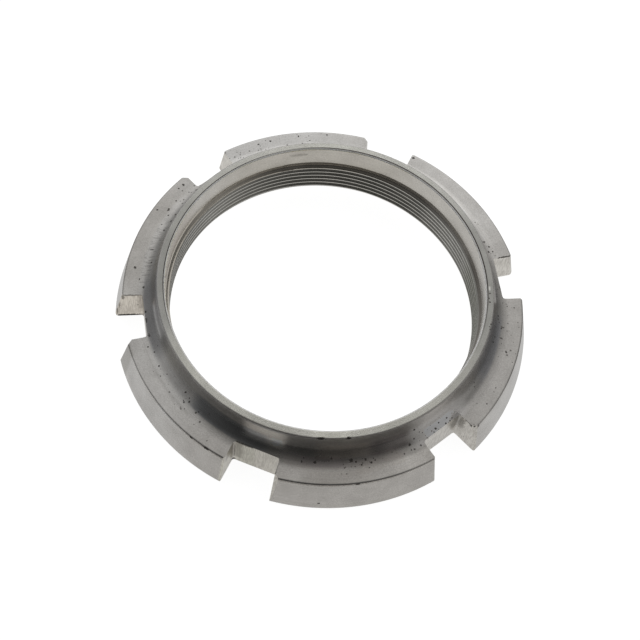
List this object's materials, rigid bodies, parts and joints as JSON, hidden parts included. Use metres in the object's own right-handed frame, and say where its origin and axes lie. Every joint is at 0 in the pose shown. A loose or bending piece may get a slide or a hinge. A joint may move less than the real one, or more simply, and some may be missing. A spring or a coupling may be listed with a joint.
{
  "type": "grooved nut",
  "caption": "Turned steel ring nut with a fine internal thread, a raised collar with a relief bore, a filleted flange with a drafted side and spanner grooves cut through its rim.",
  "frame": {"origin": "centre of the flat base, the seat face, on the thread axis", "axes": "+Z along the thread axis from the seat face towards the collar, +X through the middle of one spanner groove"},
  "size_m": [0.0986, 0.0994, 0.0169],
  "materials": {
    "steel": "satin"
  },
  "bodies": {
    "root": {"grooved_nut": "steel"}
  },
  "joints": []
}
